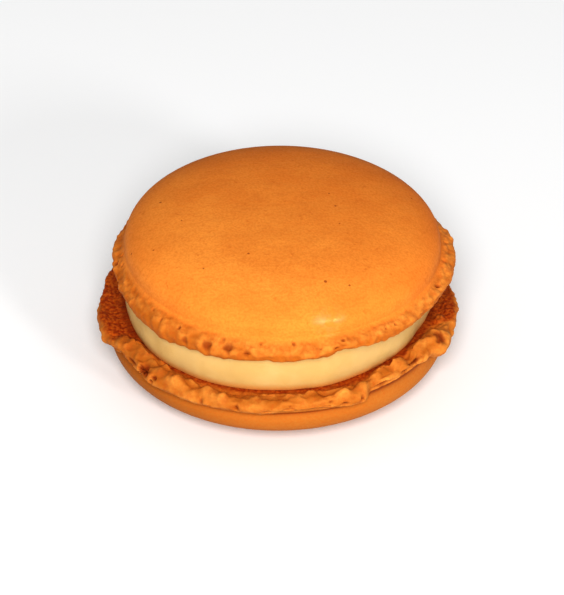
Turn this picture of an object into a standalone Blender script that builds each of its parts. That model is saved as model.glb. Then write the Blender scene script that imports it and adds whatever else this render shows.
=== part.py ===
"""A passion fruit macaron: two domed almond shells with ruffled feet, and a thick disc of cream between them.

Sizes are in millimetres until a vertex is made. A bearing is an angle round the macaron, from 0 at the
front (-Y) through the right (+X), and those in the tables are in degrees. Heights within a shell are
measured from its flat base towards its crown, so they run upwards in the upper shell and downwards in
the lower one. Along is a distance over a shell's skin, 0 at the crease under its dome and growing down
its ruffled foot.
"""

import math
from dataclasses import dataclass

import bmesh
import bpy
from mathutils import Matrix, Vector, noise

MM = 0.001
FULL_TURN = 2 * math.pi
QUARTER = math.pi / 2

RING_POINTS = 128
DOME_ROWS = 10
SKIRT_ROWS = 6
LIP_ROWS = 3
LEDGE_ROWS = 2
BASE_RINGS = ((17.0, 64), (11.0, 32), (5.0, 16))
INNER_RADIUS = 5.0
MIDDLE_RADIUS = 11.0
SMOOTH_ANGLE = math.radians(50)

LOWER_BASE_HEIGHT = 8.96
UPPER_SHIFT = 0.6
UPPER_TILT = 0.012
FLAT_SPOT_DEPTH = 0.14

CREAM_HEIGHT = 6.5
CREAM_RADIUS = 20.05
CREAM_SHIFT = 0.15
CREAM_ROUNDING = 0.9
CREAM_WAVE_DEPTH = 0.2
CREAM_WAVE_LENGTH = 9.0
CREAM_SEED = 40.0
CREAM_POINTS = 96
CREAM_ROWS = 8
CONTACT_GAP = 0.3

WIDEST_SHARE = 0.35
BROAD_WAVE_LENGTH = 11.0
BROAD_WAVE_SHARE = 1.3
SHORT_WAVE_LENGTH = 4.5
SHORT_WAVE_SHARE = 0.8
SHORT_WAVE_SEED = 5.0
LUMP_LENGTH = 3.0
LUMP_HEIGHT = 2.1
LUMP_MEAN = 0.6
LUMP_WARP = 0.3
LUMP_WARP_SCALE = 1.7
LUMP_WARP_SEED = 7
LUMP_SHARPNESS = 6.0
CREASE_FADE = 0.5
ARC_EDGES = (0.85, 1.15)
CALMING = 0.65
TIGHTENING = 0.5


@dataclass
class Patch:
    """Where a foot bulges (push above 0) or is hollow (below 0)."""

    bearing: float
    half_width: float
    along: float
    half_height: float
    push: float


@dataclass
class Sag:
    """Where the lower edge of a foot hangs lower (drop above 0) or higher (below 0)."""

    bearing: float
    half_width: float
    drop: float


@dataclass
class Bulge:
    """Where the cream stands further out (push above 0) or less far (below 0)."""

    bearing: float
    half_width: float
    push: float


@dataclass
class Shell:
    """One half of the macaron. The rim is the widest part of the dome, and the foot is the ruffle under it.

    The arcs are pairs of a bearing and a half width: plain where the flat base runs out to the edge with
    no ruffle, calm where the skirt is nearly smooth, and tight where the foot is narrow and shallow.
    """

    crown_side: int
    dome_radius: float
    dome_height: float
    dome_power: float
    rim_height: float
    crease_height: float
    crease_depth: float
    foot_radius: float
    skirt_start: float
    skirt_power: float
    lip_width: float
    lip_drop: float
    ledge_width: float
    recess: float
    swell: float
    lump: float
    seed: float
    patches: tuple
    plain_arcs: tuple
    calm_arcs: tuple
    tight_arcs: tuple
    sags: tuple


UPPER = Shell(
    crown_side=1,
    dome_radius=20.35,
    dome_height=5.5,
    dome_power=2.4,
    rim_height=2.6,
    crease_height=2.3,
    crease_depth=0.0,
    foot_radius=21.9,
    skirt_start=1.7,
    skirt_power=1.4,
    lip_width=0.5,
    lip_drop=0.1,
    ledge_width=1.0,
    recess=0.0,
    swell=0.25,
    lump=0.3,
    seed=3.0,
    patches=(
        Patch(bearing=88.0, half_width=6.0, along=2.5, half_height=3.0, push=0.15),
        Patch(bearing=-126.0, half_width=9.0, along=2.5, half_height=3.0, push=-0.7),
        Patch(bearing=134.0, half_width=9.0, along=2.5, half_height=3.0, push=-0.5),
        Patch(bearing=-38.0, half_width=10.0, along=2.2, half_height=3.0, push=0.35),
    ),
    plain_arcs=(),
    calm_arcs=(),
    tight_arcs=(),
    sags=(
        Sag(bearing=-42.0, half_width=26.0, drop=0.8),
        Sag(bearing=-6.0, half_width=18.0, drop=0.5),
        Sag(bearing=26.0, half_width=10.0, drop=-0.4),
    ),
)

LOWER = Shell(
    crown_side=-1,
    dome_radius=22.0,
    dome_height=6.1,
    dome_power=2.3,
    rim_height=3.0,
    crease_height=2.1,
    crease_depth=0.5,
    foot_radius=23.3,
    skirt_start=1.0,
    skirt_power=1.8,
    lip_width=1.0,
    lip_drop=0.4,
    ledge_width=1.4,
    recess=0.1,
    swell=0.25,
    lump=0.42,
    seed=11.0,
    patches=(
        Patch(bearing=-76.0, half_width=3.5, along=2.0, half_height=2.5, push=0.35),
        Patch(bearing=-57.0, half_width=3.5, along=1.5, half_height=2.5, push=-0.6),
        Patch(bearing=64.0, half_width=4.0, along=2.0, half_height=2.5, push=0.6),
        Patch(bearing=82.0, half_width=3.0, along=2.0, half_height=2.5, push=0.4),
        Patch(bearing=101.0, half_width=4.0, along=2.0, half_height=2.5, push=-0.6),
        Patch(bearing=8.5, half_width=4.5, along=1.8, half_height=2.2, push=-0.5),
        Patch(bearing=-51.0, half_width=1.1, along=0.5, half_height=0.8, push=-1.0),
        Patch(bearing=38.6, half_width=1.6, along=5.0, half_height=1.3, push=0.9),
        Patch(bearing=46.0, half_width=1.6, along=4.9, half_height=1.2, push=0.8),
        Patch(bearing=60.0, half_width=2.4, along=5.0, half_height=1.4, push=1.0),
    ),
    plain_arcs=((-93.0, 25.0), (94.0, 18.0)),
    calm_arcs=((0.0, 62.0),),
    tight_arcs=((46.5, 16.0),),
    sags=(),
)

CREAM_BULGES = (
    Bulge(bearing=-40.0, half_width=20.0, push=0.35),
    Bulge(bearing=52.0, half_width=26.0, push=-0.6),
)

BISCUIT = ("biscuit", (0.86, 0.30, 0.035, 1.0), 0.55)
CREAM = ("cream", (0.93, 0.62, 0.20, 1.0), 0.45)


def clear_scene():
    for old in list(bpy.data.objects):
        bpy.data.objects.remove(old)


def smoothstep(low, high, value):
    """0 below low, 1 above high, with an even S between them."""
    share = min(max((value - low) / (high - low), 0.0), 1.0)
    return share * share * (3.0 - 2.0 * share)


def on_ring(radius, bearing, height):
    """The point at that radius, bearing and height."""
    return Vector((radius * math.sin(bearing), -radius * math.cos(bearing), height))


def noise_at(bearing, along, cell_round, cell_along, radius, seed):
    """A place in noise space that repeats after a full turn, with cells of those two sizes in millimetres."""
    ring = radius / cell_round
    return Vector((ring * math.sin(bearing), -ring * math.cos(bearing), along / cell_along + seed))


def slow_swell(bearing, radius, seed):
    """The slow waviness of a shell's edge, from about -1 to 1."""
    broad = noise.noise(noise_at(bearing, 0.0, BROAD_WAVE_LENGTH, 1.0, radius, seed))
    short = noise.noise(noise_at(bearing, 0.0, SHORT_WAVE_LENGTH, 1.0, radius, seed + SHORT_WAVE_SEED))
    return BROAD_WAVE_SHARE * broad + SHORT_WAVE_SHARE * short


def lumps(bearing, along, radius, seed):
    """Round swellings of batter that run into each other, from about 0 between them to 1 on their tops."""
    place = noise_at(bearing, along, LUMP_LENGTH, LUMP_HEIGHT, radius, seed)
    place += LUMP_WARP * noise.noise_vector(place * LUMP_WARP_SCALE)
    return sum(math.exp(-LUMP_SHARPNESS * away**2) for away in noise.voronoi(place)[0])


def turn_from(bearing, centre):
    """How far a bearing is from a centre given in degrees, the short way round, in radians."""
    return (bearing - math.radians(centre) + math.pi) % FULL_TURN - math.pi


def within(arcs, bearing):
    """1 inside those arcs, 0 outside them, with an even S at their ends."""
    inside = 0.0
    for centre, half_width in arcs:
        away = abs(turn_from(bearing, centre)) / math.radians(half_width)
        inside = max(inside, 1.0 - smoothstep(*ARC_EDGES, away))
    return inside


def patch_push(shell, bearing, along):
    """How far the shell's patches push this place on its foot outwards."""
    push = 0.0
    for patch in shell.patches:
        across = turn_from(bearing, patch.bearing) * shell.foot_radius / patch.half_width
        down = (along - patch.along) / patch.half_height
        push += patch.push * math.exp(-((across**2 + down**2) ** 2))
    return push


def sag(shell, bearing):
    """How much lower the lower edge of the shell's foot hangs at that bearing."""
    drop = 0.0
    for part in shell.sags:
        away = turn_from(bearing, part.bearing) / math.radians(part.half_width)
        drop += part.drop * math.exp(-(away**4))
    return drop


def relief(shell, bearing, along, on_lip):
    """How far the ruffled skin stands out from the plain section. On_lip is 0 on the skirt, 1 past the lip."""
    wave = shell.swell * slow_swell(bearing, shell.foot_radius, shell.seed)
    lump = shell.lump * (lumps(bearing, along, shell.foot_radius, shell.seed) - LUMP_MEAN)
    calm = CALMING * within(shell.calm_arcs, bearing) * (1.0 - on_lip)
    return (wave + lump) * (1.0 - calm) + patch_push(shell, bearing, along)


def dome_section(shell, flat_crown):
    """Radius and height from just off the crown down to the rim, with the crown cut flat by that depth."""
    crown = shell.dome_height - flat_crown
    section = []
    for row in range(1, DOME_ROWS + 1):
        angle = QUARTER * (1.0 - row / DOME_ROWS)
        radius = shell.dome_radius * math.cos(angle) ** (2.0 / shell.dome_power)
        height = shell.dome_height * math.sin(angle) ** (2.0 / shell.dome_power)
        section.append((radius, shell.rim_height + min(height, crown)))
    return section


def foot_section(shell):
    """Radius and height from the crease down the skirt, round the lip and over the ledge to the flat base."""
    crease_radius = shell.dome_radius - shell.crease_depth
    widest_height = WIDEST_SHARE * shell.crease_height
    lip_radius = shell.foot_radius - shell.lip_width
    section = []
    for row in range(SKIRT_ROWS):
        share = row / SKIRT_ROWS
        flare = 1.0 - (1.0 - share**shell.skirt_start) ** shell.skirt_power
        radius = crease_radius + (shell.foot_radius - crease_radius) * flare
        section.append((radius, shell.crease_height + (widest_height - shell.crease_height) * share))
    for row in range(LIP_ROWS):
        angle = QUARTER * row / LIP_ROWS
        radius = shell.foot_radius - shell.lip_width * (1.0 - math.cos(angle))
        section.append((radius, widest_height - (widest_height + shell.lip_drop) * math.sin(angle)))
    for row in range(LEDGE_ROWS + 1):
        share = row / LEDGE_ROWS
        height = (shell.lip_drop + shell.recess) * smoothstep(0.0, 1.0, share) - shell.lip_drop
        section.append((lip_radius - shell.ledge_width * share, height))
    return section


def outward_normal(section, row):
    """The direction, as radius and height, in which the skin faces at that row of a section."""
    ahead = section[min(row + 1, len(section) - 1)]
    behind = section[max(row - 1, 0)]
    slope = Vector((ahead[0] - behind[0], ahead[1] - behind[1])).normalized()
    return Vector((-slope.y, slope.x))


def ring_of(bm, count, place):
    """A closed ring of vertices, each put where place says for its bearing."""
    return [bm.verts.new(MM * place(FULL_TURN * k / count)) for k in range(count)]


def bridge(bm, first, second):
    """Joins two rings. The second has as many points as the first, or half or twice as many."""
    if len(first) == len(second):
        for k in range(len(first)):
            n = (k + 1) % len(first)
            bm.faces.new((first[k], second[k], second[n], first[n]))
        return
    fine, coarse = (first, second) if len(first) > len(second) else (second, first)
    for k in range(len(coarse)):
        n = (k + 1) % len(coarse)
        left, middle, right = fine[2 * k], fine[2 * k + 1], fine[(2 * k + 2) % len(fine)]
        bm.faces.new((left, coarse[k], middle))
        bm.faces.new((middle, coarse[k], coarse[n]))
        bm.faces.new((middle, coarse[n], right))


def close_ring(bm, ring, height):
    """Closes a ring with a fan of triangles about its middle."""
    middle = bm.verts.new((0.0, 0.0, MM * height))
    for k in range(len(ring)):
        bm.faces.new((middle, ring[k], ring[(k + 1) % len(ring)]))


def points_for(radius):
    """Fewer points on the smaller rings of a dome, so that its faces stay alike in size."""
    if radius < INNER_RADIUS:
        return RING_POINTS // 8
    if radius < MIDDLE_RADIUS:
        return RING_POINTS // 4
    return RING_POINTS // 2


def ruffled_ring(bm, shell, section, row, along):
    """One ring of the foot, with its skin pushed in and out by the relief."""
    radius, height = section[row]
    facing = outward_normal(section, row)
    inner_fade = 1.0 - smoothstep(len(section) - 1 - LEDGE_ROWS, len(section) - 1, row)
    fade = smoothstep(0.0, CREASE_FADE, along) * inner_fade
    on_lip = smoothstep(SKIRT_ROWS - 1, SKIRT_ROWS + LIP_ROWS, row)
    hanging = inner_fade * (shell.crease_height - height) / (shell.crease_height + shell.lip_drop)
    beyond_crease = max(radius - shell.dome_radius + shell.crease_depth, 0.0)

    def place(bearing):
        plain = within(shell.plain_arcs, bearing)
        tight = TIGHTENING * within(shell.tight_arcs, bearing)
        push = fade * relief(shell, bearing, along, on_lip) * (1.0 - plain * on_lip)
        towards_crown = (1.0 - tight) * max(height, 0.0) + (1.0 - plain) * min(height, 0.0)
        up = shell.crown_side * (towards_crown - hanging * sag(shell, bearing) + push * facing.y)
        return on_ring(radius - tight * beyond_crease + push * facing.x, bearing, up)

    return ring_of(bm, RING_POINTS, place)


def plain_ring(bm, shell, count, radius, height):
    """A smooth ring of a shell."""
    return ring_of(bm, count, lambda bearing: on_ring(radius, bearing, shell.crown_side * height))


def shell_mesh(name, shell, flat_crown):
    """The whole skin of a shell: dome, rim, ruffled foot and flat base."""
    bm = bmesh.new()
    dome = dome_section(shell, flat_crown)
    rings = [plain_ring(bm, shell, points_for(radius), radius, height) for radius, height in dome]

    foot = foot_section(shell)
    along = 0.0
    for row, here in enumerate(foot):
        along += math.dist(foot[max(row - 1, 0)], here)
        rings.append(ruffled_ring(bm, shell, foot, row, along))
    for radius, count in BASE_RINGS:
        rings.append(plain_ring(bm, shell, count, radius, 0.0))

    for first, second in zip(rings, rings[1:]):
        bridge(bm, first, second)
    close_ring(bm, rings[0], shell.crown_side * dome[0][1])
    close_ring(bm, rings[-1], 0.0)
    return finish_mesh(bm, name)


def cream_push(bearing):
    """How far the cream stands out from a plain disc at that bearing."""
    wave = noise.noise(noise_at(bearing, 0.0, CREAM_WAVE_LENGTH, 1.0, CREAM_RADIUS, CREAM_SEED))
    push = CREAM_WAVE_DEPTH * wave
    for bulge in CREAM_BULGES:
        away = turn_from(bearing, bulge.bearing) / math.radians(bulge.half_width)
        push += bulge.push * math.exp(-(away**4))
    return push


def cream_mesh(name):
    """The disc of cream. Its side is rounded at its edges, and its upper face leans with the upper shell."""
    bm = bmesh.new()
    low = CONTACT_GAP
    high = CREAM_HEIGHT - CONTACT_GAP
    rings = []
    for row in range(CREAM_ROWS + 1):
        angle = math.pi * (row / CREAM_ROWS - 0.5)
        share = 0.5 * (1.0 + math.sin(angle))
        radius = CREAM_RADIUS - CREAM_ROUNDING * (1.0 - math.cos(angle) ** 0.5)

        def side(bearing, radius=radius, share=share):
            point = on_ring(radius + cream_push(bearing), bearing, 0.0)
            point.z = low + (high - low) * share - UPPER_TILT * point.x * share
            return point

        rings.append(ring_of(bm, CREAM_POINTS, side))
    for first, second in zip(rings, rings[1:]):
        bridge(bm, first, second)
    close_ring(bm, rings[0], low)
    close_ring(bm, rings[-1], high)
    return finish_mesh(bm, name)


def finish_mesh(bm, name):
    """Splits the faces into triangles, points them outwards and shades them smooth."""
    bmesh.ops.triangulate(bm, faces=bm.faces[:])
    bmesh.ops.recalc_face_normals(bm, faces=bm.faces[:])
    mesh = bpy.data.meshes.new(name)
    bm.to_mesh(mesh)
    bm.free()
    mesh.shade_smooth()
    mesh.set_sharp_from_angle(angle=SMOOTH_ANGLE)
    return mesh


def material(name, colour, roughness):
    made = bpy.data.materials.new(name)
    made.use_nodes = True
    surface = made.node_tree.nodes["Principled BSDF"]
    surface.inputs["Base Color"].default_value = colour
    surface.inputs["Roughness"].default_value = roughness
    surface.inputs["Metallic"].default_value = 0.0
    return made


def add_object(mesh, stuff, placing):
    mesh.materials.append(stuff)
    made = bpy.data.objects.new(mesh.name, mesh)
    made.matrix_world = placing
    bpy.context.scene.collection.objects.link(made)
    return made


def build():
    clear_scene()
    noise.seed_set(LUMP_WARP_SEED)
    biscuit = material(*BISCUIT)
    cream = material(*CREAM)

    lower_place = Matrix.Translation((0.0, 0.0, MM * LOWER_BASE_HEIGHT))
    add_object(shell_mesh("shell_bottom", LOWER, FLAT_SPOT_DEPTH), biscuit, lower_place)

    cream_place = Matrix.Translation((MM * CREAM_SHIFT, 0.0, MM * LOWER_BASE_HEIGHT))
    add_object(cream_mesh("filling"), cream, cream_place)

    upper_height = LOWER_BASE_HEIGHT + CREAM_HEIGHT
    lean = Matrix.Rotation(UPPER_TILT, 4, "Y")
    upper_place = Matrix.Translation((MM * UPPER_SHIFT, 0.0, MM * upper_height)) @ lean
    add_object(shell_mesh("shell_top", UPPER, 0.0), biscuit, upper_place)


build()
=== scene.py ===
"""The looks of the passion fruit macaron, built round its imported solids.

Shapes are in millimetres until a vertex is made. A bearing is an angle round the macaron, from 0 at the
front (-Y) through the right (+X). Heights within a shell are measured from its flat base towards its crown.
Along is a distance over a shell's skin, 0 at the crease under the dome and growing down the ruffled foot.
The lights and the camera are placed in metres.
"""

import math
from dataclasses import dataclass

import bpy
import numpy as np
from mathutils import Matrix, Vector, noise


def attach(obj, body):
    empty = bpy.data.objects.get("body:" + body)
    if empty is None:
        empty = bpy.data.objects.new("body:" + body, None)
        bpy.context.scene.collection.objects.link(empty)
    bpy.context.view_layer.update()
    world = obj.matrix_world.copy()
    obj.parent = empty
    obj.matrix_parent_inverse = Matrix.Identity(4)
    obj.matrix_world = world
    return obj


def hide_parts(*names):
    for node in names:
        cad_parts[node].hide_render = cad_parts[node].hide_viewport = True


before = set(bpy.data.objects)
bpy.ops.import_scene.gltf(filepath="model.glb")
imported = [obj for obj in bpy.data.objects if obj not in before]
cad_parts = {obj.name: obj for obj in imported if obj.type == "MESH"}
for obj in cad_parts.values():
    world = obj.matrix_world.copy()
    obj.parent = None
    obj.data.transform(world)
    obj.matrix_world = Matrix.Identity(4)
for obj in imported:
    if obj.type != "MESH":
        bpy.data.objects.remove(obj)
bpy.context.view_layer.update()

MM = 0.001
FULL_TURN = 2 * math.pi
QUARTER = math.pi / 2

# Without a seed of its own, the noise that warps the bubbles would differ from run to run.

WARP_SEED = 7
noise.seed_set(WARP_SEED)

# The sizes that the skins share with the solids.

LOWER_BASE_HEIGHT = 8.96
UPPER_SHIFT = 0.6
UPPER_TILT = 0.012
CREAM_HEIGHT = 6.5
CREAM_RADIUS = 20.05
CREAM_SHIFT = 0.15
WIDEST_SHARE = 0.35
FLAT_SPOT_DEPTH = 0.14
ARC_EDGES = (0.85, 1.15)

# How much of its ruffles a calm arc loses, and a tight arc of its width and height. A tight arc's crease is
# also filled in by that many millimetres, less and less down to the end of the fill.

CALMING = 0.65
TIGHTENING = 0.5
CREASE_FILL = 0.6
CREASE_FILL_END = 1.6

# How finely the skins are drawn.

RING_POINTS = 960
OUTER_DOME_RADIUS = 10.0
DOME_ROWS = 50
WALL_ROWS = 4
SKIRT_ROWS = 20
LIP_ROWS = 10
LEDGE_ROWS = 14
BASE_ROWS = 10
BASE_REACH = 19.0
CREAM_POINTS = 480
CREAM_ROWS = 48

# The bubbles of batter: how they are warped, how steep they are, and how the two sizes add up. One that
# reaches just the level pushes the skin neither in nor out.

WARP = 0.3
WARP_SCALE = 0.9
BUBBLE_STEEPNESS = 6.0
SMALL_BUBBLE_SCALE = 1.9
LARGE_BUBBLE_SHARE = 0.75
SMALL_BUBBLE_SHARE = 0.35
BUBBLE_LEVEL = 0.6
BUBBLE_SEED = 20.0

# The lumps: how strong their finer part is, and how much finer.

LUMP_DETAIL = 0.5
LUMP_DETAIL_SCALE = 2.1
LUMP_SEED = 30.0

# The grain: the width and height of its cells, and how its layers follow each other.

GRAIN_CELLS = (0.55, 0.45)
GRAIN_FALLOFF = 1.0
GRAIN_RATIO = 2.0
GRAIN_LAYERS = 3
GRAIN_SEED = 60.0

# How far each kind of small relief pushes the skin, or the open crumb, outwards.

WRINKLE_PUSH = 0.13
GRAIN_PUSH = 0.05
CRUMB_BUBBLE_PUSH = 0.08
CRUMB_GRAIN_PUSH = 0.06

# The open crumb: over what distance it begins, how far the bubbles shift its edge, and how far beyond the
# widest place it begins in a plain arc.

CRUMB_EDGE = 0.9
CRUMB_SHIFT = 0.8
PLAIN_CRUMB_GAP = 0.2

# Where along the foot the bubbles stop filling the ledge.

LEDGE_FILL_END = (6.0, 7.0)

# The pits: how uneven their outlines are, where their walls run, as shares of their half sizes, and the
# distance from the crease over which they reach their full depth.

PIT_UNEVENNESS = 0.3
PIT_WALL = (0.3, 1.3)
PIT_FADE = 0.6

# How much painted shade darkens the foot near the cream, under its lip and at its left, and in a pit for each
# millimetre of its depth, and how strongly its lumps are painted lighter on their tops and darker between
# them.

CREAM_SHADE = 0.65
UNDER_SHADE = 0.35
LEFT_SHADE = 0.2
PIT_SHADE = 1.8
LUMP_PAINTED_SHADING = 1.8

# How much browner a shell is at its edge, and how much darker at its back and its left: at the back partly
# real browning and partly painted shade, at the left painted shade, with painted light at the right.

EDGE_BROWNING = 0.25
BACK_BROWNING_AND_SHADE = 0.6
LEFT_PAINTED_SHADE = 0.24

# The side of the cream: how much smaller it is at its two edges, and how far it reaches into each shell.

CREAM_ROUNDING = 0.75
CREAM_OVERLAP = 0.05

# The viewpoint of the photograph, fitted to the outline. The shift is in pixels of its 564 by 595 frame.

AIM = Vector((0.3 * MM, 0.0, 10.51 * MM))
VIEW_ELEVATION = 35.3
VIEW_DISTANCE = 0.42
LENS = 195.5
SENSOR_WIDTH = 36.0
SHIFT_X = 2.0
SHIFT_Y = -7.5
LONGER_SIDE = 595.0
CLIP_START = 0.01

# The light and the floor.

LIGHT_DISTANCE = 1.2
SKY_STRENGTH = 0.38
GAMMA = 0.8
FLOOR_HALF_SIDE = 1.5


@dataclass
class Wave:
    """One of the waves that add up to an unevenness. Its seed keeps it apart from the others."""

    push: float
    width: float
    height: float
    seed: float


@dataclass
class Patch:
    """Where a foot bulges (push above 0) or is hollow (below 0)."""

    bearing: float
    half_width: float
    along: float
    half_height: float
    push: float


@dataclass
class Pit:
    """A hole in a foot, with those half sizes at the skin."""

    bearing: float
    along: float
    half_width: float
    half_height: float
    depth: float


@dataclass
class Sag:
    """Where the lower edge of a foot hangs lower (drop above 0) or higher (below 0)."""

    bearing: float
    half_width: float
    drop: float


@dataclass
class Bulge:
    """Where the cream stands further out (push above 0) or less far (below 0)."""

    bearing: float
    half_width: float
    push: float


@dataclass
class Shell:
    """One half of the macaron. The rim is the widest part of the dome, and the foot is the ruffle under it.

    The foot runs from the crease down its skirt, round its lip, and over a ledge to the flat base. Swell,
    lump, bubble and teeth say how far each kind of unevenness reaches, and fill how far bubbles fill the
    ledge. The lengths of lumps and bubbles run round the foot, and their heights down it. The crease and lip
    shades paint shade into the colour there, and brownness is how brown the shell is where nothing else
    browns it, partly real browning and partly painted shade.

    The arcs are pairs of a bearing and a half width: plain where the flat base runs out to the edge with
    no ruffle, calm where the skirt is nearly smooth, and tight where the foot is narrow and shallow.
    """

    crown_side: int
    dome_radius: float
    dome_height: float
    dome_power: float
    rim_height: float
    crease_height: float
    crease_depth: float
    foot_radius: float
    skirt_start: float
    skirt_power: float
    lip_width: float
    lip_drop: float
    ledge_width: float
    recess: float
    flat_crown: float
    swell: float
    lump: float
    lump_length: float
    lump_height: float
    bubble: float
    bubble_length: float
    bubble_height: float
    teeth: float
    fill: float
    crease_shade: float
    lip_shade: float
    smooth_skirt: float
    crumb_start: float
    brownness_and_shade: float
    seed: float
    plain_arcs: tuple
    calm_arcs: tuple
    tight_arcs: tuple
    sags: tuple
    patches: tuple
    pits: tuple


UPPER = Shell(
    crown_side=1,
    dome_radius=20.35,
    dome_height=5.5,
    dome_power=2.4,
    rim_height=2.6,
    crease_height=2.3,
    crease_depth=0.0,
    foot_radius=21.9,
    skirt_start=1.7,
    skirt_power=1.4,
    lip_width=0.5,
    lip_drop=0.1,
    ledge_width=1.0,
    recess=0.0,
    flat_crown=0.0,
    swell=0.25,
    lump=0.17,
    lump_length=2.4,
    lump_height=1.3,
    bubble=0.15,
    bubble_length=1.4,
    bubble_height=0.95,
    teeth=0.16,
    fill=0.0,
    crease_shade=0.0,
    lip_shade=0.5,
    smooth_skirt=0.1,
    crumb_start=4.0,
    brownness_and_shade=0.0,
    seed=3.0,
    plain_arcs=(),
    calm_arcs=(),
    tight_arcs=(),
    sags=(
        Sag(bearing=-48.0, half_width=32.0, drop=0.8),
        Sag(bearing=-6.0, half_width=18.0, drop=0.5),
        Sag(bearing=26.0, half_width=10.0, drop=-0.4),
        Sag(bearing=14.0, half_width=3.0, drop=0.25),
        Sag(bearing=20.0, half_width=2.5, drop=-0.25),
    ),
    patches=(
        Patch(bearing=88.0, half_width=6.0, along=2.5, half_height=3.0, push=0.4),
        Patch(bearing=-126.0, half_width=9.0, along=2.5, half_height=3.0, push=-0.7),
        Patch(bearing=134.0, half_width=9.0, along=2.5, half_height=3.0, push=-0.5),
        Patch(bearing=-38.0, half_width=10.0, along=2.2, half_height=3.0, push=0.35),
    ),
    pits=(
        Pit(bearing=-84.4, along=0.6, half_width=0.35, half_height=0.3, depth=0.4),
        Pit(bearing=-79.2, along=0.9, half_width=0.3, half_height=0.3, depth=0.35),
        Pit(bearing=-82.8, along=1.7, half_width=0.5, half_height=0.4, depth=0.5),
        Pit(bearing=69.0, along=1.3, half_width=0.4, half_height=0.3, depth=0.5),
        Pit(bearing=82.2, along=0.8, half_width=0.35, half_height=0.3, depth=0.4),
        Pit(bearing=94.4, along=1.1, half_width=0.35, half_height=0.3, depth=0.4),
        Pit(bearing=-25.3, along=2.0, half_width=0.7, half_height=0.6, depth=0.4),
        Pit(bearing=-20.5, along=0.9, half_width=0.3, half_height=0.25, depth=0.25),
        Pit(bearing=-18.0, along=1.7, half_width=0.75, half_height=0.6, depth=0.4),
        Pit(bearing=-36.8, along=1.3, half_width=0.25, half_height=0.25, depth=0.4),
        Pit(bearing=-44.4, along=1.5, half_width=0.2, half_height=0.25, depth=0.35),
        Pit(bearing=-49.7, along=1.0, half_width=0.15, half_height=0.15, depth=0.3),
        Pit(bearing=-33.5, along=2.3, half_width=0.5, half_height=0.4, depth=0.35),
        Pit(bearing=-12.0, along=2.1, half_width=0.5, half_height=0.5, depth=0.35),
        Pit(bearing=-7.5, along=0.8, half_width=0.18, half_height=0.2, depth=0.3),
        Pit(bearing=3.7, along=0.8, half_width=0.3, half_height=0.35, depth=0.35),
        Pit(bearing=12.9, along=1.6, half_width=0.18, half_height=0.18, depth=0.25),
        Pit(bearing=20.9, along=1.3, half_width=0.28, half_height=0.28, depth=0.4),
        Pit(bearing=18.0, along=2.1, half_width=0.4, half_height=0.3, depth=0.35),
        Pit(bearing=37.3, along=1.4, half_width=0.3, half_height=0.2, depth=0.3),
        Pit(bearing=41.5, along=1.4, half_width=0.25, half_height=0.2, depth=0.35),
    ),
)

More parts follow.
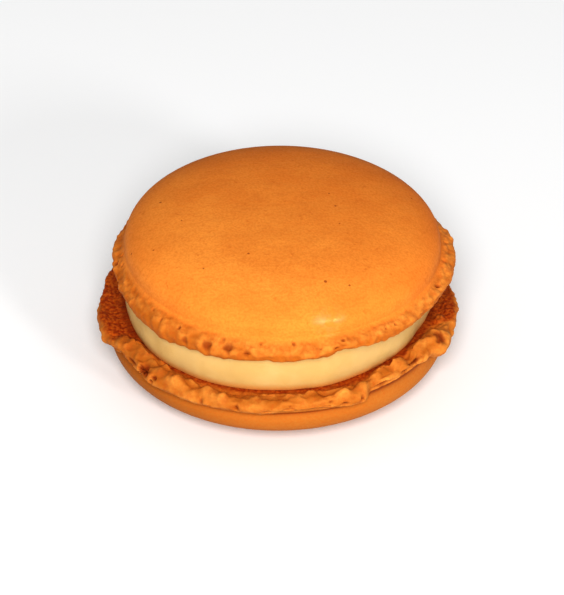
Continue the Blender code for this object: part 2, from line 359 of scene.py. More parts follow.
LOWER = Shell(
    crown_side=-1,
    dome_radius=22.0,
    dome_height=6.1,
    dome_power=2.3,
    rim_height=3.0,
    crease_height=2.1,
    crease_depth=0.5,
    foot_radius=23.3,
    skirt_start=1.0,
    skirt_power=1.8,
    lip_width=1.0,
    lip_drop=0.4,
    ledge_width=1.4,
    recess=0.1,
    flat_crown=FLAT_SPOT_DEPTH,
    swell=0.25,
    lump=0.32,
    lump_length=3.6,
    lump_height=1.6,
    bubble=0.34,
    bubble_length=2.1,
    bubble_height=1.35,
    teeth=0.0,
    fill=0.3,
    crease_shade=0.9,
    lip_shade=0.0,
    smooth_skirt=0.0,
    crumb_start=5.45,
    brownness_and_shade=0.92,
    seed=11.0,
    plain_arcs=((-91.5, 27.0), (94.0, 18.0)),
    calm_arcs=((0.0, 62.0),),
    tight_arcs=((46.5, 16.0),),
    sags=(),
    patches=(
        Patch(bearing=-76.0, half_width=3.5, along=2.0, half_height=2.5, push=0.35),
        Patch(bearing=-57.0, half_width=3.5, along=1.5, half_height=2.5, push=-0.6),
        Patch(bearing=64.0, half_width=4.0, along=2.0, half_height=2.5, push=0.6),
        Patch(bearing=82.0, half_width=3.0, along=2.0, half_height=2.5, push=0.4),
        Patch(bearing=101.0, half_width=4.0, along=2.0, half_height=2.5, push=-0.6),
        Patch(bearing=8.5, half_width=4.5, along=1.8, half_height=2.2, push=-0.5),
        Patch(bearing=-16.9, half_width=1.5, along=3.4, half_height=0.9, push=0.3),
        Patch(bearing=-10.6, half_width=1.2, along=3.2, half_height=0.9, push=0.3),
        Patch(bearing=-1.9, half_width=2.2, along=3.4, half_height=0.8, push=0.3),
        Patch(bearing=12.5, half_width=1.3, along=4.8, half_height=0.8, push=0.3),
        Patch(bearing=29.5, half_width=1.2, along=4.4, half_height=0.9, push=0.35),
        Patch(bearing=38.4, half_width=1.7, along=5.4, half_height=1.3, push=0.9),
        Patch(bearing=46.4, half_width=1.6, along=5.1, half_height=1.2, push=0.8),
        Patch(bearing=47.8, half_width=0.9, along=3.5, half_height=0.7, push=0.4),
        Patch(bearing=57.5, half_width=1.9, along=5.4, half_height=1.3, push=0.9),
        Patch(bearing=65.5, half_width=1.9, along=4.9, half_height=1.3, push=0.85),
        Patch(bearing=77.8, half_width=0.9, along=5.0, half_height=0.8, push=0.6),
        Patch(bearing=52.0, half_width=1.4, along=3.6, half_height=0.7, push=-0.5),
        Patch(bearing=-34.6, half_width=1.5, along=4.6, half_height=1.0, push=0.4),
        Patch(bearing=-40.4, half_width=1.4, along=4.9, half_height=1.0, push=0.5),
        Patch(bearing=-47.0, half_width=1.5, along=5.7, half_height=1.0, push=0.6),
        Patch(bearing=-53.0, half_width=1.5, along=5.9, half_height=1.0, push=0.6),
        Patch(bearing=-58.8, half_width=1.6, along=5.6, half_height=1.1, push=0.65),
        Patch(bearing=-64.0, half_width=1.5, along=4.7, half_height=1.1, push=0.6),
    ),
    pits=(
        Pit(bearing=-48.3, along=3.3, half_width=0.95, half_height=1.15, depth=1.2),
        Pit(bearing=-42.6, along=3.1, half_width=0.45, half_height=0.35, depth=0.6),
        Pit(bearing=-43.6, along=2.4, half_width=0.35, half_height=0.35, depth=0.5),
        Pit(bearing=-55.0, along=3.2, half_width=1.2, half_height=0.5, depth=0.5),
        Pit(bearing=-33.2, along=1.8, half_width=1.1, half_height=0.3, depth=0.5),
        Pit(bearing=-24.5, along=2.4, half_width=0.3, half_height=0.7, depth=0.3),
        Pit(bearing=-12.8, along=2.6, half_width=0.3, half_height=0.5, depth=0.35),
        Pit(bearing=3.4, along=2.3, half_width=0.8, half_height=0.45, depth=0.5),
        Pit(bearing=-3.6, along=2.2, half_width=0.5, half_height=0.35, depth=0.35),
        Pit(bearing=15.5, along=2.3, half_width=0.6, half_height=0.35, depth=0.4),
        Pit(bearing=21.5, along=2.3, half_width=0.6, half_height=0.4, depth=0.4),
        Pit(bearing=4.0, along=3.2, half_width=0.2, half_height=0.2, depth=0.3),
        Pit(bearing=17.0, along=3.3, half_width=0.3, half_height=0.25, depth=0.3),
        Pit(bearing=27.5, along=2.5, half_width=0.25, half_height=0.8, depth=0.4),
        Pit(bearing=36.8, along=1.6, half_width=1.5, half_height=1.1, depth=1.0),
        Pit(bearing=47.6, along=1.6, half_width=0.9, half_height=1.0, depth=1.0),
        Pit(bearing=52.5, along=3.1, half_width=1.2, half_height=0.8, depth=0.8),
        Pit(bearing=66.0, along=3.6, half_width=1.0, half_height=0.7, depth=0.5),
    ),
)

# Waves of endless height change only round the macaron.

SWELL_WAVES = (
    Wave(push=1.3, width=11.0, height=math.inf, seed=0.0),
    Wave(push=0.8, width=4.5, height=math.inf, seed=5.0),
)
TOOTH_WAVES = (
    Wave(push=1.0, width=2.2, height=math.inf, seed=70.0),
    Wave(push=0.5, width=0.9, height=math.inf, seed=75.0),
)
WRINKLE_WAVES = (Wave(push=1.0, width=0.8, height=0.65, seed=80.0),)
CREAM_WAVES = (
    Wave(push=0.2, width=9.0, height=math.inf, seed=40.0),
    Wave(push=0.12, width=3.2, height=4.5, seed=47.0),
    Wave(push=0.03, width=1.1, height=1.4, seed=52.0),
)

CREAM_BULGES = (
    Bulge(bearing=-40.0, half_width=20.0, push=0.35),
    Bulge(bearing=52.0, half_width=26.0, push=-0.6),
)


def smoothstep(low, high, value):
    """0 below low, 1 above high, with an even S between them. It takes numbers and arrays."""
    share = np.clip((value - low) / (high - low), 0.0, 1.0)
    return share * share * (3.0 - 2.0 * share)


def fall(low, high, value):
    """1 below low, 0 above high, with an even S between them."""
    return 1.0 - smoothstep(low, high, value)


def flat_top(away):
    """1 near 0, with a flat top, and hardly anything beyond 1.5 to either side."""
    return np.exp(-(away**4))


def dome_section(shell):
    """Radius and height from just off the crown to the rim, and on nearly as far as the crease."""
    crown = shell.dome_height - shell.flat_crown
    section = []
    for row in range(1, DOME_ROWS + 1):
        angle = QUARTER * (1.0 - row / DOME_ROWS)
        radius = shell.dome_radius * math.cos(angle) ** (2.0 / shell.dome_power)
        height = shell.dome_height * math.sin(angle) ** (2.0 / shell.dome_power)
        section.append((radius, shell.rim_height + min(height, crown)))
    for row in range(1, WALL_ROWS):
        share = row / WALL_ROWS
        height = shell.rim_height + (shell.crease_height - shell.rim_height) * share
        section.append((shell.dome_radius - shell.crease_depth * share, height))
    return section


def foot_section(shell):
    """Radius and height from the crease down the skirt, round the lip, over the ledge and under the cream."""
    crease_radius = shell.dome_radius - shell.crease_depth
    widest_height = WIDEST_SHARE * shell.crease_height
    lip_radius = shell.foot_radius - shell.lip_width
    inner_radius = lip_radius - shell.ledge_width
    section = []
    for row in range(SKIRT_ROWS):
        share = row / SKIRT_ROWS
        flare = 1.0 - (1.0 - share**shell.skirt_start) ** shell.skirt_power
        radius = crease_radius + (shell.foot_radius - crease_radius) * flare
        section.append((radius, shell.crease_height + (widest_height - shell.crease_height) * share))
    for row in range(LIP_ROWS):
        angle = QUARTER * row / LIP_ROWS
        radius = shell.foot_radius - shell.lip_width * (1.0 - math.cos(angle))
        section.append((radius, widest_height - (widest_height + shell.lip_drop) * math.sin(angle)))
    for row in range(LEDGE_ROWS):
        share = row / LEDGE_ROWS
        height = (shell.lip_drop + shell.recess) * smoothstep(0.0, 1.0, share) - shell.lip_drop
        section.append((lip_radius - shell.ledge_width * share, height))
    for row in range(BASE_ROWS + 1):
        share = row / BASE_ROWS
        radius = inner_radius + (BASE_REACH - inner_radius) * share
        section.append((radius, shell.recess * fall(0.0, 1.0, share)))
    return section


def facings(section):
    """For each row of a section, the direction, as radius and height, in which the skin faces."""
    steps = np.gradient(np.array(section), axis=0)
    steps /= np.linalg.norm(steps, axis=1, keepdims=True)
    return np.column_stack((-steps[:, 1], steps[:, 0]))


def distances(section, start):
    """The distance along a section from its row numbered start."""
    steps = np.linalg.norm(np.diff(np.array(section), axis=0), axis=1)
    walked = np.concatenate(([0.0], np.cumsum(steps)))
    return walked - walked[start]


def noise_place(bearing, along, width, height, radius, seed):
    """A place in noise space that repeats after a full turn, with cells of that width and height."""
    ring = radius / width
    return Vector((ring * math.sin(bearing), -ring * math.cos(bearing), along / height + seed))


def waviness(waves, bearing, along, radius, seed):
    """What the waves add up to at a place on the side of something of that radius."""
    total = 0.0
    for wave in waves:
        place = noise_place(bearing, along, wave.width, wave.height, radius, seed + wave.seed)
        total += wave.push * noise.noise(place)
    return total


def foot_waviness(waves, shell, bearing, along):
    """What the waves add up to at a place on a shell's foot."""
    return waviness(waves, bearing, along, shell.foot_radius, shell.seed)


def slow_swell(shell, bearing, along):
    """The slow waviness of a shell's edge, from about -1 to 1."""
    return foot_waviness(SWELL_WAVES, shell, bearing, along)


def tooth(shell, bearing, along):
    """How jagged the lower edge of a foot is, from about -1 to 1."""
    return foot_waviness(TOOTH_WAVES, shell, bearing, along)


def wrinkle(shell, bearing, along):
    """Small soft unevenness, from about -1 to 1."""
    return foot_waviness(WRINKLE_WAVES, shell, bearing, along)


def foot_place(shell, bearing, along, cells, seed):
    """The place in noise space of a point on a shell's foot, with cells of that width and height."""
    return noise_place(bearing, along, *cells, shell.foot_radius, shell.seed + seed)


def lump(shell, bearing, along):
    """Soft uneven lumps, from about -1 to 1."""
    cells = (shell.lump_length, shell.lump_height)
    place = foot_place(shell, bearing, along, cells, LUMP_SEED)
    return noise.noise(place) + LUMP_DETAIL * noise.noise(place * LUMP_DETAIL_SCALE)


def swellings(place):
    """Round swellings that run into each other, at a place in noise space."""
    return sum(math.exp(-BUBBLE_STEEPNESS * away**2) for away in noise.voronoi(place)[0])


def bubble(shell, bearing, along):
    """Swellings of batter, from about 0 between them to 1 on their tops."""
    cells = (shell.bubble_length, shell.bubble_height)
    place = foot_place(shell, bearing, along, cells, BUBBLE_SEED)
    place += WARP * noise.noise_vector(place * WARP_SCALE)
    return LARGE_BUBBLE_SHARE * swellings(place) + SMALL_BUBBLE_SHARE * swellings(place * SMALL_BUBBLE_SCALE)


def grain(shell, bearing, along):
    """Fine roughness, from about -1 to 1."""
    place = foot_place(shell, bearing, along, GRAIN_CELLS, GRAIN_SEED)
    return noise.fractal(place, GRAIN_FALLOFF, GRAIN_RATIO, GRAIN_LAYERS)


def sampled(function, shell, bearings, alongs):
    """function(shell, bearing, along) over a whole foot, as an array with a row for each along."""
    return np.array([[function(shell, b, a) for b in bearings] for a in alongs])


def turn_from(bearings, centre):
    """How far each bearing is from a centre given in degrees, the short way round, in radians."""
    return (bearings - math.radians(centre) + math.pi) % FULL_TURN - math.pi


def within(arcs, bearings):
    """1 inside those arcs, 0 outside them, with an even S at their ends."""
    inside = np.zeros(len(bearings))
    for centre, half_width in arcs:
        away = np.abs(turn_from(bearings, centre)) / math.radians(half_width)
        inside = np.maximum(inside, fall(*ARC_EDGES, away))
    return inside


def leftness(bearings):
    """1 towards the left, below 0 towards the right, and 0 at the front and back."""
    side = np.sin(bearings)
    return smoothstep(0.2, 0.8, -side) - 0.7 * smoothstep(0.2, 0.8, side)


def pit_depth(shell, bearings, alongs, uneven):
    """How deep the shell's pits go at each place on its foot. Uneven makes their outlines irregular."""
    depth = np.zeros((len(alongs), len(bearings)))
    for hole in shell.pits:
        across = turn_from(bearings, hole.bearing) * shell.foot_radius / hole.half_width
        below = (alongs[:, None] - hole.along) / hole.half_height
        away = np.hypot(across, below) + PIT_UNEVENNESS * uneven
        depth = np.maximum(depth, hole.depth * fall(*PIT_WALL, away))
    return depth


def patch_push(shell, bearings, alongs):
    """How far the shell's patches push each place on its foot outwards."""
    push = np.zeros((len(alongs), len(bearings)))
    for patch in shell.patches:
        across = turn_from(bearings, patch.bearing) * shell.foot_radius / patch.half_width
        below = (alongs[:, None] - patch.along) / patch.half_height
        push += patch.push * flat_top(np.hypot(across, below))
    return push


def sag(shell, bearings):
    """How much lower the lower edge of the shell's foot hangs at those bearings."""
    drop = np.zeros(len(bearings))
    for part in shell.sags:
        drop += part.drop * flat_top(turn_from(bearings, part.bearing) / math.radians(part.half_width))
    return drop


class Foot:
    """The relief of a shell's foot, and the masks that colour it.

    The arrays have a row for each along and a column for each bearing, or just one where nothing changes.
    """

    def __init__(self, shell, bearings, alongs, section):
        self.shell = shell
        self.bearings = bearings
        self.down = alongs[:, None]
        self.radii, self.heights = np.array(section).T[:, :, None]
        self.widest = alongs[SKIRT_ROWS]
        self.end_of_lip = alongs[SKIRT_ROWS + LIP_ROWS]
        self.end_of_ledge = alongs[SKIRT_ROWS + LIP_ROWS + LEDGE_ROWS]
        self.end = alongs[-1]
        self.plain = within(shell.plain_arcs, bearings)
        self.tight = within(shell.tight_arcs, bearings)
        self.fade = smoothstep(shell.smooth_skirt, shell.smooth_skirt + 1.0, self.down)

        self.bubbles = sampled(bubble, shell, bearings, alongs)
        self.raised = self.bubbles - BUBBLE_LEVEL
        self.grains = sampled(grain, shell, bearings, alongs)
        self.pits = pit_depth(shell, bearings, alongs, self.grains)
        self.patches = patch_push(shell, bearings, alongs)
        lumps = sampled(lump, shell, bearings, alongs)
        wrinkles = sampled(wrinkle, shell, bearings, alongs)
        self.soft = shell.lump * lumps + shell.bubble * self.raised + WRINKLE_PUSH * wrinkles
        self.crumb = self.open_crumb()

    def open_crumb(self):
        """1 where the open crumb shows, beyond the lip, and 0 on the skin."""
        start = self.shell.crumb_start
        start = start - self.plain * (start - self.widest - PLAIN_CRUMB_GAP)
        crumb = smoothstep(start, start + CRUMB_EDGE, self.down + CRUMB_SHIFT * self.raised)
        return crumb * fall(0.3, 0.8, self.patches)

    def push(self):
        """How far each place stands out from the plain section, in the direction that the skin faces."""
        shell, down = self.shell, self.down
        swell = sampled(slow_swell, shell, self.bearings, [0.0])
        calm = CALMING * within(shell.calm_arcs, self.bearings) * fall(self.widest, self.end_of_lip, down)
        on_ledge = smoothstep(self.end_of_lip - 0.5, self.end_of_lip + 0.5, down)
        on_ledge = on_ledge * fall(*LEDGE_FILL_END, down)
        ruffled = (shell.swell * swell + self.soft) * (1.0 - calm) + shell.fill * self.bubbles * on_ledge
        crumbly = CRUMB_BUBBLE_PUSH * self.raised + CRUMB_GRAIN_PUSH * self.grains
        push = self.fade * (self.patches + ruffled * (1.0 - self.crumb) + crumbly * self.crumb)
        inner_fade = fall(self.end_of_ledge + 0.3, self.end, down)
        push = inner_fade * (push - smoothstep(0.0, PIT_FADE, down) * self.pits)
        return push + GRAIN_PUSH * self.grains * self.fade * inner_fade

    def narrowing(self):
        """How far each place is pulled in along the tight arcs, and below 0 where the crease is filled in."""
        ledge_radius = self.shell.foot_radius - self.shell.lip_width - self.shell.ledge_width
        pull = TIGHTENING * np.maximum(self.radii - ledge_radius, 0.0)
        pull -= CREASE_FILL * fall(0.0, CREASE_FILL_END, self.down)
        return pull * self.tight

    def rise(self):
        """How much nearer to the crown each place is than in the plain section."""
        shell, down = self.shell, self.down
        before_ledge = fall(self.end_of_lip, self.end_of_ledge, down)
        lip = smoothstep(0.5 * self.widest, self.end_of_lip, down) * before_ledge
        jagged = sampled(tooth, shell, self.bearings, [0.0])
        hanging = (shell.crease_height - self.heights) / (shell.crease_height + shell.lip_drop) * before_ledge
        rise = -self.plain * np.minimum(self.heights, 0.0)
        rise -= TIGHTENING * self.tight * np.maximum(self.heights, 0.0)
        return rise - (lip * shell.teeth * jagged + hanging * sag(shell, self.bearings))

    def masks(self):
        """The masks that colour the foot, by name, each from 0 to 1."""
        shell, down = self.shell, self.down
        # Painted shade: a dark line at the crease, a dark band by the cream and dark pits.
        near_crease = shell.crease_shade * fall(0.0, 0.6, down)
        near_cream = CREAM_SHADE * smoothstep(self.end_of_ledge + 0.1, self.end_of_ledge + 0.8, down)
        near_cream = near_cream * (0.5 + 0.5 * self.plain) * fall(0.2, 0.6, self.patches)
        painted_hollow_shade = np.maximum(np.maximum(near_crease, near_cream), PIT_SHADE * self.pits)
        # Painted light and shade on the ruffle: darker towards the ledge, under the lip of the upper foot and
        # at the left, a little lighter at the right, and lighter on the tops of the lumps.
        shade = UNDER_SHADE * smoothstep(self.end_of_lip - 0.5, self.end_of_ledge, down)
        shade = shade + shell.lip_shade * smoothstep(self.widest - 0.5, self.widest + 0.5, down)
        shade = shade + LEFT_SHADE * leftness(self.bearings)
        return {
            "ruffle": np.broadcast_to(self.fade, self.crumb.shape),
            "crumb": self.crumb,
            "painted_hollow_shade": np.clip(painted_hollow_shade, 0.0, 1.0),
            "painted_ruffle_shading": np.clip(0.5 + LUMP_PAINTED_SHADING * self.soft - shade, 0.0, 1.0),
        }


def dome_browning_and_shade(shell, radius, turn):
    """How much browning and painted shade darken one ring of a shell at those bearings: real browning at its
    edge, browning and painted shade at its back, painted shade at its left.
    """
    browned_and_shaded = EDGE_BROWNING * smoothstep(0.8, 1.0, radius / shell.dome_radius)
    # The back, leaning to the right, is darkened partly as browning and partly as painted shade.
    toward_back = radius * (0.3 * np.sin(turn) - np.cos(turn))
    browned_and_shaded = browned_and_shaded + BACK_BROWNING_AND_SHADE * smoothstep(-20.0, 22.0, toward_back)
    browned_and_shaded = np.maximum(browned_and_shaded * (1.0 - shell.brownness_and_shade), shell.brownness_and_shade)
    # Painted shade at the left, and painted light at the right, of a browned shell.
    return browned_and_shaded + LEFT_PAINTED_SHADE * shell.brownness_and_shade * leftness(turn)


def bridge_faces(first, second):
    """Faces between two rings of vertex numbers, where one has as many as the other, or twice as many."""
    if len(first) == len(second):
        return [(first[k - 1], second[k - 1], second[k], first[k]) for k in range(len(first))]
    if len(first) < len(second):
        return [tuple(reversed(face)) for face in bridge_faces(second, first)]
    faces = []
    for k in range(len(second)):
        n = (k + 1) % len(second)
        left, middle, right = first[2 * k], first[2 * k + 1], first[(2 * k + 2) % len(first)]
        faces += [(left, second[k], middle), (middle, second[k], second[n]), (middle, second[n], right)]
    return faces


def ringed_mesh(name, rings, caps, masks):
    """A closed skin from rings of points and a cap point at each end, with a value of each mask per point."""
    points = [caps[0]]
    numbers = []
    for ring in rings:
        numbers.append(range(len(points), len(points) + len(ring)))
        points.extend(ring)
    points.append(caps[1])
    faces = []
    for first, second in zip(numbers, numbers[1:]):
        faces += bridge_faces(first, second)
    faces += [(0, numbers[0][k - 1], numbers[0][k]) for k in range(len(numbers[0]))]
    last = len(points) - 1
    faces += [(last, numbers[-1][k], numbers[-1][k - 1]) for k in range(len(numbers[-1]))]
    mesh = bpy.data.meshes.new(name)
    mesh.from_pydata([MM * Vector(p) for p in points], [], faces)
    for mask, values in masks.items():
        attribute = mesh.attributes.new(mask, "FLOAT", "POINT")
        flat = np.concatenate([[values[0][0]], *values, [values[-1][0]]])
        attribute.data.foreach_set("value", flat.astype(np.float32))
    mesh.update()
    mesh.shade_smooth()
    return mesh


def add_object(name, data):
    """A new object in the scene."""
    thing = bpy.data.objects.new(name, data)
    bpy.context.scene.collection.objects.link(thing)
    return thing


def ring_step(radius):
    """How many bearings apart the points of a ring are: further apart towards the crown of a dome."""
    return 2 ** max(0, math.ceil(math.log2(OUTER_DOME_RADIUS / radius)))


def shell_piece(name, shell, base_height, shift, tilt):
    """The whole skin of a shell, with its ruffles, pits and masks for the material."""
    dome = dome_section(shell)
    section = dome + foot_section(shell)
    bearings = FULL_TURN * np.arange(RING_POINTS) / RING_POINTS
    foot = Foot(shell, bearings, distances(section, len(dome))[len(dome):], section[len(dome):])
    facing = facings(section)[len(dome):]
    push = foot.push()
    outward = push * facing[:, :1] - foot.narrowing()
    upward = push * facing[:, 1:] + foot.rise()
    foot_masks = foot.masks()

    rings = []
    masks = {mask: [] for mask in (*foot_masks, "browning_and_shade")}
    for row, (radius, height) in enumerate(section):
        step = ring_step(radius)
        turn = bearings[::step]
        foot_row = max(0, row - len(dome))
        # The rows of the wall blend the plain dome into the first row of the foot.
        share = min(1.0, max(0.0, (row + 1 - DOME_ROWS) / WALL_ROWS))
        out = radius + share * outward[foot_row, ::step]
        up = height + share * upward[foot_row, ::step]
        rings.append(np.column_stack((out * np.sin(turn), -out * np.cos(turn), shell.crown_side * up)))
        for mask, values in foot_masks.items():
            masks[mask].append(share**3 * values[foot_row, ::step])
        masks["browning_and_shade"].append(dome_browning_and_shade(shell, radius, turn))

    caps = ((0.0, 0.0, shell.crown_side * section[0][1]), (0.0, 0.0, 0.0))
    mesh = ringed_mesh(name, rings, caps, masks)
    mesh.transform(Matrix.Translation((MM * shift, 0.0, MM * base_height)) @ Matrix.Rotation(tilt, 4, "Y"))
    if shell.crown_side > 0:
        mesh.flip_normals()
    return add_object(name, mesh)


def cream_push(bearings):
    """How far the cream's bulges push its side out at those bearings."""
    push = np.zeros(len(bearings))
    for bulge in CREAM_BULGES:
        push += bulge.push * flat_top(turn_from(bearings, bulge.bearing) / math.radians(bulge.half_width))
    return push


def cream_piece(name):
    """The band of cream: a soft bulge round its side, with slight dents, that meets both shells."""
    bearings = FULL_TURN * np.arange(CREAM_POINTS) / CREAM_POINTS
    low = -CREAM_OVERLAP
    high = CREAM_HEIGHT + CREAM_OVERLAP
    rings = []
    for row in range(CREAM_ROWS + 1):
        angle = math.pi * (row / CREAM_ROWS - 0.5)
        share = 0.5 * (1.0 + math.sin(angle))
        radius = CREAM_RADIUS - CREAM_ROUNDING * (1.0 - math.cos(angle) ** 0.5)
        dents = [waviness(CREAM_WAVES, b, CREAM_HEIGHT * share, CREAM_RADIUS, 0.0) for b in bearings]
        out = radius + cream_push(bearings) + np.array(dents)
        x = out * np.sin(bearings)
        z = low + (high - low) * share - UPPER_TILT * x * share
        rings.append(np.column_stack((x, -out * np.cos(bearings), z)))
    mesh = ringed_mesh(name, rings, ((0.0, 0.0, low), (0.0, 0.0, high)), {})
    mesh.transform(Matrix.Translation((MM * CREAM_SHIFT, 0.0, MM * LOWER_BASE_HEIGHT)))
    return add_object(name, mesh)


# The sockets for colours of a node that mixes them, by number, because their names occur more than once.

MIX_SHARE = 0
MIX_FIRST = 6
MIX_SECOND = 7
MIX_RESULT = 2


class Nodes:
    """Short ways to add nodes to a material."""

    def __init__(self, name):
        self.material = bpy.data.materials.new(name)
        self.material.use_nodes = True
        self.tree = self.material.node_tree
        self.surface = self.tree.nodes["Principled BSDF"]

    def put(self, socket, value):
        """Links an output to a socket, or sets a constant on it."""
        if isinstance(value, bpy.types.NodeSocket):
            self.tree.links.new(value, socket)
        else:
            socket.default_value = value

    def shade(self, values):
        """Puts those values on the sockets of the shader, by name."""
        for name, value in values.items():
            self.put(self.surface.inputs[name], value)

    def add(self, kind, inputs=(), **settings):
        """A node with those settings. Its inputs are (socket, value or output) pairs."""
        node = self.tree.nodes.new(kind)
        for name, value in settings.items():
            setattr(node, name, value)
        for socket, value in inputs:
            self.put(node.inputs[socket], value)
        return node

    def mask(self, name):
        """The mesh's value of that name."""
        return self.add("ShaderNodeAttribute", attribute_name=name).outputs["Fac"]

    def place(self, scale=(1.0, 1.0, 1.0)):
        """The place on the piece in metres, stretched by scale."""
        inputs = [(0, self.add("ShaderNodeTexCoord").outputs["Object"]), (1, scale)]
        return self.add("ShaderNodeVectorMath", inputs, operation="MULTIPLY").outputs["Vector"]

    def height(self):
        """The height on the piece in metres."""
        return self.add("ShaderNodeSeparateXYZ", [(0, self.place())]).outputs["Z"]

    def distance(self, place, centre):
        """How far place is from centre."""
        inputs = [(0, place), (1, centre)]
        return self.add("ShaderNodeVectorMath", inputs, operation="DISTANCE").outputs["Value"]

    def noise(self, size, detail=3.0, stretch=(1.0, 1.0, 1.0)):
        """Soft noise from 0 to 1, with blobs of that size in millimetres."""
        inputs = [("Vector", self.place(stretch)), ("Scale", 1.0 / (MM * size)), ("Detail", detail)]
        return self.add("ShaderNodeTexNoise", inputs).outputs["Fac"]

    def math(self, operation, *values):
        """A sum on those values."""
        return self.add("ShaderNodeMath", list(enumerate(values)), operation=operation).outputs[0]

    def range(self, value, low, high, to_low=0.0, to_high=1.0):
        """Value's range from low to high, eased onto another range."""
        inputs = [("Value", value), ("From Min", low), ("From Max", high)]
        inputs += [("To Min", to_low), ("To Max", to_high)]
        return self.add("ShaderNodeMapRange", inputs, interpolation_type="SMOOTHSTEP").outputs["Result"]

    def less(self, mask, share):
        """1 where mask is 0, down to 1 - share where it is 1."""
        return self.math("SUBTRACT", 1.0, self.math("MULTIPLY", mask, share))

    def mix(self, share, first, second):
        """The first colour, turning into the second as share goes from 0 to 1."""
        inputs = [(MIX_SHARE, share), (MIX_FIRST, first), (MIX_SECOND, second)]
        return self.add("ShaderNodeMix", inputs, data_type="RGBA").outputs[MIX_RESULT]

    def bump(self, height, depth, below=None):
        """Shading relief of that depth in millimetres."""
        inputs = [("Height", height), ("Distance", MM * depth), ("Strength", 1.0)]
        if below is not None:
            inputs.append(("Normal", below))
        return self.add("ShaderNodeBump", inputs).outputs["Normal"]


def linear(code):
    """A colour written as six hexadecimal digits, as linear light."""
    parts = [int(code[k:k + 2], 16) / 255 for k in (0, 2, 4)]
    return tuple(((p + 0.055) / 1.055) ** 2.4 if p > 0.04 else p / 12.92 for p in parts) + (1.0,)


# The colours of the biscuit, the cream and the floor, and the tints of the biscuit's gloss.

CRUST = linear("DB8B39")
LIGHT_CRUST = linear("E2943F")
STREAK = linear("C06C20")
DOT = linear("B4560F")
SPECK = linear("80300A")
# The shaded and the lit colour of the ruffle, between which its painted light and shade runs.
SHADED_RUFFLE = linear("B0661E")
LIT_RUFFLE = linear("E09A48")
RUFFLE_SPOT = linear("AB581C")
DARK_CRUMB = linear("892C04")
LIGHT_CRUMB = linear("B65B14")
GOLDEN_CRUMB = linear("BC6A22")
# The colour of the painted shade in creases, recesses and pits.
HOLLOW_SHADE = linear("721F00")
FINE_SPOT = linear("B05814")
# Browning colours that also carry painted shade.
TOP_BROWNING_AND_SHADE = linear("C46116")
BOTTOM_BROWNING_AND_SHADE = linear("9A5B1E")
CREAM = linear("C7A466")
LIGHT_CREAM = linear("CDAC71")
# The orange of the painted bounce light on the cream's lower edge.
CREAM_BOUNCE_LIGHT = linear("CE8E44")
BISCUIT_TINT = (1.0, 0.62, 0.3, 1.0)
COAT_TINT = (1.0, 0.95, 0.75, 1.0)
FLOOR = (0.86, 0.86, 0.86, 1.0)

# Dark specks of almond skin on the upper dome, none below that height: x, y and radius in millimetres.

SPECK_HEIGHT = 18.5
SPECKS = (
    (5.95, -14.48, 0.22),
    (8.94, -14.65, 0.15),
    (-3.65, -9.83, 0.16),
    (7.39, 0.52, 0.16),
    (6.60, 3.40, 0.12),
    (-15.08, 3.11, 0.18),
    (-12.23, -2.08, 0.12),
    (-9.25, -11.89, 0.12),
    (-18.56, -5.26, 0.12),
    (-15.68, -6.84, 0.12),
    (7.85, -3.35, 0.1),
    (17.32, 5.46, 0.12),
)

# The middle of a small smoother area low on the front of the upper dome, and its reach in millimetres.

POLISHED_PLACE = (6.4 * MM, -19.1 * MM, 19.5 * MM)
POLISHED_REACH = (0.8, 2.8)


def speck_mask(n):
    """1 on the specks of the upper dome, 0 elsewhere."""
    flat = n.place((1.0, 1.0, 0.0))
    total = 0.0
    for x, y, radius in SPECKS:
        away = n.distance(flat, (MM * x, MM * y, 0.0))
        spot = n.range(away, MM * radius * 0.5, MM * radius * 1.3, 1.0, 0.0)
        total = n.math("MAXIMUM", total, spot)
    return n.math("MULTIPLY", total, n.math("GREATER_THAN", n.height(), MM * SPECK_HEIGHT))


def biscuit_colour(n, browning_and_shade_colour, fine):
    """The crust of the dome, the ruffle, the crumb and the painted shade in the hollows, each where its mask
    says, with browning and painted shade on the shells and painted light and shade on the ruffle.
    """
    # Browning and painted shade, where the mask says.
    browning_and_shade = n.mask("browning_and_shade")
    crust = n.mix(n.range(n.noise(6.0), 0.35, 0.65), CRUST, LIGHT_CRUST)
    streaks = n.noise(0.55, 4.0, (0.22, 1.0, 1.0))
    crust = n.mix(n.range(streaks, 0.4, 0.75, 0.0, 0.16), crust, STREAK)
    crust = n.mix(n.math("MULTIPLY", browning_and_shade, 0.8), crust, browning_and_shade_colour)
    crust = n.mix(n.range(n.noise(0.8, 1.0), 0.66, 0.78, 0.0, 0.3), crust, DOT)
    crust = n.mix(n.math("MULTIPLY", speck_mask(n), 0.75), crust, SPECK)

    # Painted light and shade on the ruffle, lighter on its lumps and darker between and under them.
    ruffle = n.mix(n.mask("painted_ruffle_shading"), SHADED_RUFFLE, LIT_RUFFLE)
    ruffle = n.mix(n.math("MULTIPLY", browning_and_shade, 0.25), ruffle, browning_and_shade_colour)
    ruffle = n.mix(n.range(n.noise(0.9, 4.0), 0.46, 0.68, 0.0, 0.45), ruffle, RUFFLE_SPOT)

    crumb = n.mix(n.range(n.noise(0.42, 4.0), 0.38, 0.66), DARK_CRUMB, LIGHT_CRUMB)
    crumb = n.mix(n.range(n.noise(1.4, 2.0), 0.5, 0.72, 0.0, 0.4), crumb, GOLDEN_CRUMB)

    colour = n.mix(n.mask("ruffle"), crust, ruffle)
    colour = n.mix(n.mask("crumb"), colour, crumb)
    # Painted shade in the crease, by the cream and in the pits.
    colour = n.mix(n.range(n.mask("painted_hollow_shade"), 0.0, 1.0, 0.0, 0.9), colour, HOLLOW_SHADE)
    return n.mix(n.range(fine, 0.35, 0.7, 0.0, 0.24), colour, FINE_SPOT)


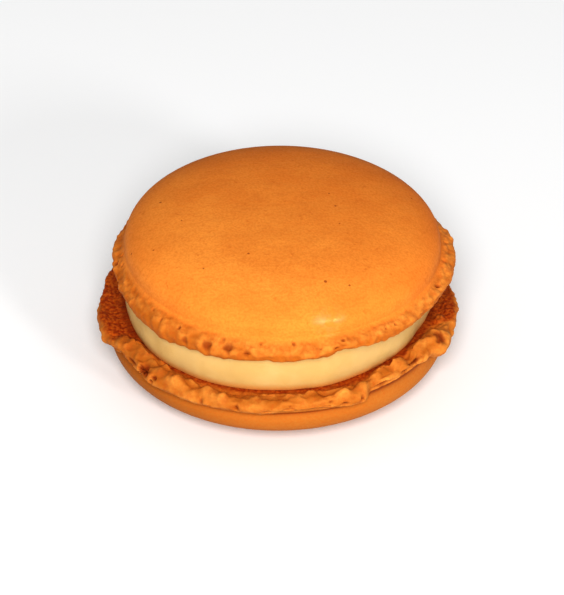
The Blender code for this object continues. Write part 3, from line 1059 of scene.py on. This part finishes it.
def biscuit_material(name, browning_and_shade_colour):
    """Baked almond meringue: a satin crust, a rougher ruffle, and a dark open crumb underneath."""
    n = Nodes(name)
    fine = n.noise(0.3, 2.0)
    nearest, furthest = POLISHED_REACH
    polish = n.range(n.distance(n.place(), POLISHED_PLACE), MM * nearest, MM * furthest, 1.0, 0.0)

    rough = n.math("MULTIPLY", n.range(fine, 0.3, 0.7, 0.66, 0.78), n.less(polish, 1.0))
    smooth = n.math("MULTIPLY", n.range(fine, 0.35, 0.65, 0.2, 0.3), polish)
    patchy = n.range(n.noise(0.9, 2.0), 0.38, 0.6, 0.15, 1.0)

    calm = n.less(polish, 0.6)
    relief = n.bump(n.math("MULTIPLY", n.noise(1.6), calm), 0.04)
    relief = n.bump(n.math("MULTIPLY", n.noise(4.0, 1.0), calm), 0.12, relief)
    relief = n.bump(n.math("MULTIPLY", fine, n.less(polish, 0.75)), 0.03, relief)

    n.shade({
        "Base Color": biscuit_colour(n, browning_and_shade_colour, fine),
        "Roughness": n.math("ADD", rough, smooth),
        "Normal": relief,
        "Coat Weight": n.math("MULTIPLY", polish, patchy),
        "Coat Roughness": 0.38,
        "Coat Tint": COAT_TINT,
        "Specular IOR Level": 0.25,
        "Specular Tint": BISCUIT_TINT,
        "Subsurface Weight": 0.05,
        "Subsurface Radius": (1.0, 0.5, 0.25),
        "Subsurface Scale": 0.5 * MM,
    })
    return n.material


def cream_material():
    """Smooth soft cream, pale yellow, with painted orange bounce light along its lower edge."""
    n = Nodes("filling_cream")
    colour = n.mix(n.range(n.noise(5.0), 0.35, 0.65), CREAM, LIGHT_CREAM)
    # Painted light: the orange glow that the lower shell throws on the cream's lower edge.
    lowest = LOWER_BASE_HEIGHT + 0.2
    painted_bounce = n.range(n.height(), MM * lowest, MM * (lowest + 1.1), 0.8, 0.0)
    n.shade({
        "Base Color": n.mix(painted_bounce, colour, CREAM_BOUNCE_LIGHT),
        "Roughness": n.range(n.noise(0.8), 0.3, 0.7, 0.5, 0.62),
        "Normal": n.bump(n.noise(0.9), 0.03),
        "Specular IOR Level": 0.25,
        "Subsurface Weight": 0.15,
        "Subsurface Radius": (1.0, 0.8, 0.5),
        "Subsurface Scale": 1.0 * MM,
    })
    return n.material


def floor_material():
    """A pale even floor."""
    n = Nodes("pale_floor")
    n.shade({"Base Color": FLOOR, "Roughness": 0.8})
    return n.material


def dress(piece, material, node):
    """Gives a piece its material, and puts it in the place of a node."""
    piece.data.materials.append(material)
    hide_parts(node)
    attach(piece, "root")


def make_floor():
    """A large square under the macaron."""
    mesh = bpy.data.meshes.new("floor")
    half = FLOOR_HALF_SIDE
    corners = [(-half, -half, 0.0), (half, -half, 0.0), (half, half, 0.0), (-half, half, 0.0)]
    mesh.from_pydata(corners, [], [(0, 1, 2, 3)])
    mesh.materials.append(floor_material())
    floor = add_object("floor", mesh)


def toward(bearing, elevation):
    """The direction of a bearing and elevation in degrees."""
    b, e = math.radians(bearing), math.radians(elevation)
    return Vector((math.sin(b) * math.cos(e), -math.cos(b) * math.cos(e), math.sin(e)))


def area_light(name, bearing, elevation, size, power):
    """A round light that shines on the macaron from that direction."""
    data = bpy.data.lights.new(name, "AREA")
    data.shape = "DISK"
    data.size = size
    data.energy = power
    light = add_object(name, data)
    direction = toward(bearing, elevation)
    light.location = AIM + LIGHT_DISTANCE * direction
    light.rotation_euler = direction.to_track_quat("Z", "Y").to_euler()


def make_light():
    """An even white sky, a large light from the front, and a small one for the gleam on the dome."""
    world = bpy.data.worlds.new("studio")
    bpy.context.scene.world = world
    world.use_nodes = True
    background = world.node_tree.nodes["Background"]
    background.inputs["Color"].default_value = (1.0, 1.0, 1.0, 1.0)
    background.inputs["Strength"].default_value = SKY_STRENGTH
    area_light("key", bearing=-1.0, elevation=38.0, size=0.5, power=18.0)
    area_light("glint", bearing=34.6, elevation=20.5, size=0.18, power=4.2)
    view = bpy.context.scene.view_settings
    view.view_transform = "Standard"
    view.look = "None"
    view.gamma = GAMMA


def make_camera():
    """The photograph's viewpoint."""
    data = bpy.data.cameras.new("camera")
    data.lens = LENS
    data.sensor_width = SENSOR_WIDTH
    data.shift_x = SHIFT_X / LONGER_SIDE
    data.shift_y = SHIFT_Y / LONGER_SIDE
    data.clip_start = CLIP_START
    camera = add_object("camera", data)
    camera.location = AIM + VIEW_DISTANCE * toward(0.0, VIEW_ELEVATION)
    camera.rotation_euler = (math.radians(90.0 - VIEW_ELEVATION), 0.0, 0.0)
    bpy.context.scene.camera = camera


upper_shell = shell_piece("crust_top", UPPER, LOWER_BASE_HEIGHT + CREAM_HEIGHT, UPPER_SHIFT, UPPER_TILT)
dress(upper_shell, biscuit_material("biscuit_top", TOP_BROWNING_AND_SHADE), "shell_top")
lower_shell = shell_piece("crust_bottom", LOWER, LOWER_BASE_HEIGHT, 0.0, 0.0)
dress(lower_shell, biscuit_material("biscuit_bottom", BOTTOM_BROWNING_AND_SHADE), "shell_bottom")
dress(cream_piece("cream_band"), cream_material(), "filling")
make_floor()
make_light()
make_camera()

bpy.context.view_layer.update()
